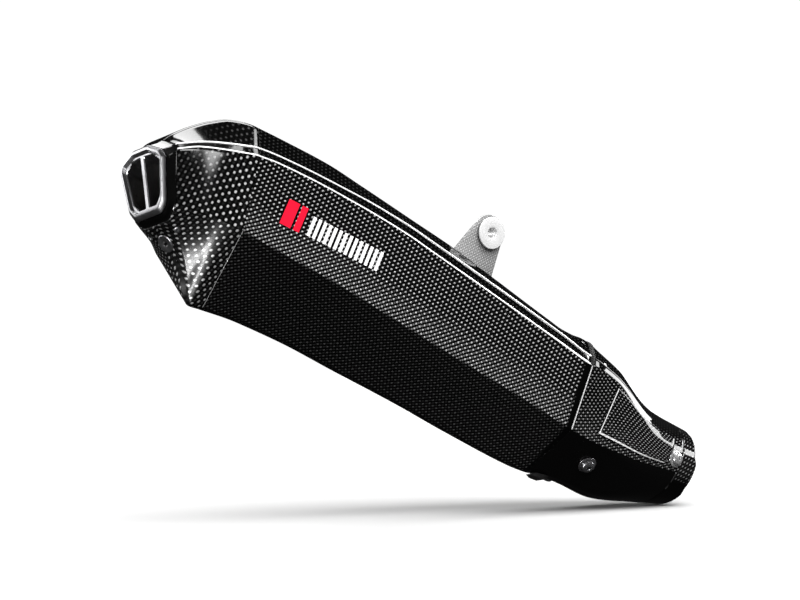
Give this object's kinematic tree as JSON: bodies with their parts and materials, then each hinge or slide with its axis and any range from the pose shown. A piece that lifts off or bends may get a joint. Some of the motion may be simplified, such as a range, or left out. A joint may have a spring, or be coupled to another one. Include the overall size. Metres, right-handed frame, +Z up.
{
  "type": "motorcycle exhaust muffler",
  "caption": "Faceted carbon motorcycle muffler with a two-slot outlet, shielded inlet nose and bolt-on hanger tab.",
  "frame": {"origin": "centre of the hanger bolt hole, midway between the collar's flanges", "axes": "+X towards the front of the motorcycle and the inlet, +Y towards the wheel (inner side), +Z up; -Y is the outer side"},
  "size_m": [0.5074, 0.1195, 0.2999],
  "materials": {
    "carbon": "gloss",
    "carbon_coarse": "gloss",
    "black_shield": "gloss",
    "rubber_black": "matte",
    "satin_steel": "satin",
    "bright_steel": "gloss",
    "inner_steel": "satin",
    "packing": "matte",
    "carbon_tab": "satin",
    "alloy": "satin"
  },
  "bodies": {
    "muffler": {"body_sleeve": "carbon", "nose_collar": "carbon", "rear_end_cap": "carbon_coarse", "heat_shield_upper": "carbon_coarse", "shield_panel_right": "carbon_coarse", "shield_panel_left": "carbon_coarse", "heat_shield_lower": "black_shield", "outlet_surround": "rubber_black", "seam_strap": "rubber_black", "keel_lug": "rubber_black", "hanger_grommet": "rubber_black", "outlet_nozzle": "satin_steel", "chin_plug": "satin_steel", "cap_rivet_right": "satin_steel", "cap_rivet_left": "satin_steel", "inlet_sleeve": "satin_steel", "washer_lower_right": "satin_steel", "washer_lower_left": "satin_steel", "screw_lower_right": "satin_steel", "screw_lower_left": "satin_steel", "foot_bolt_1": "satin_steel", "foot_bolt_2": "satin_steel", "washer_nose_right": "bright_steel", "washer_nose_left": "bright_steel", "screw_nose_right": "bright_steel", "screw_nose_left": "bright_steel", "outlet_duct_right": "inner_steel", "outlet_duct_left": "inner_steel", "rear_partition": "inner_steel", "front_partition": "inner_steel", "core_tube": "inner_steel", "inlet_cone": "inner_steel", "packing_wool": "packing", "hanger_tab": "carbon_tab", "hanger_foot": "carbon_tab"},
    "collar": {"hanger_collar": "alloy"}
  },
  "joints": [
    {"name": "collar_turn", "type": "hinge", "parent": "muffler", "child": "collar", "pos_m": [0, 0, 0], "axis": [0, 1, 0], "continuous": true}
  ]
}
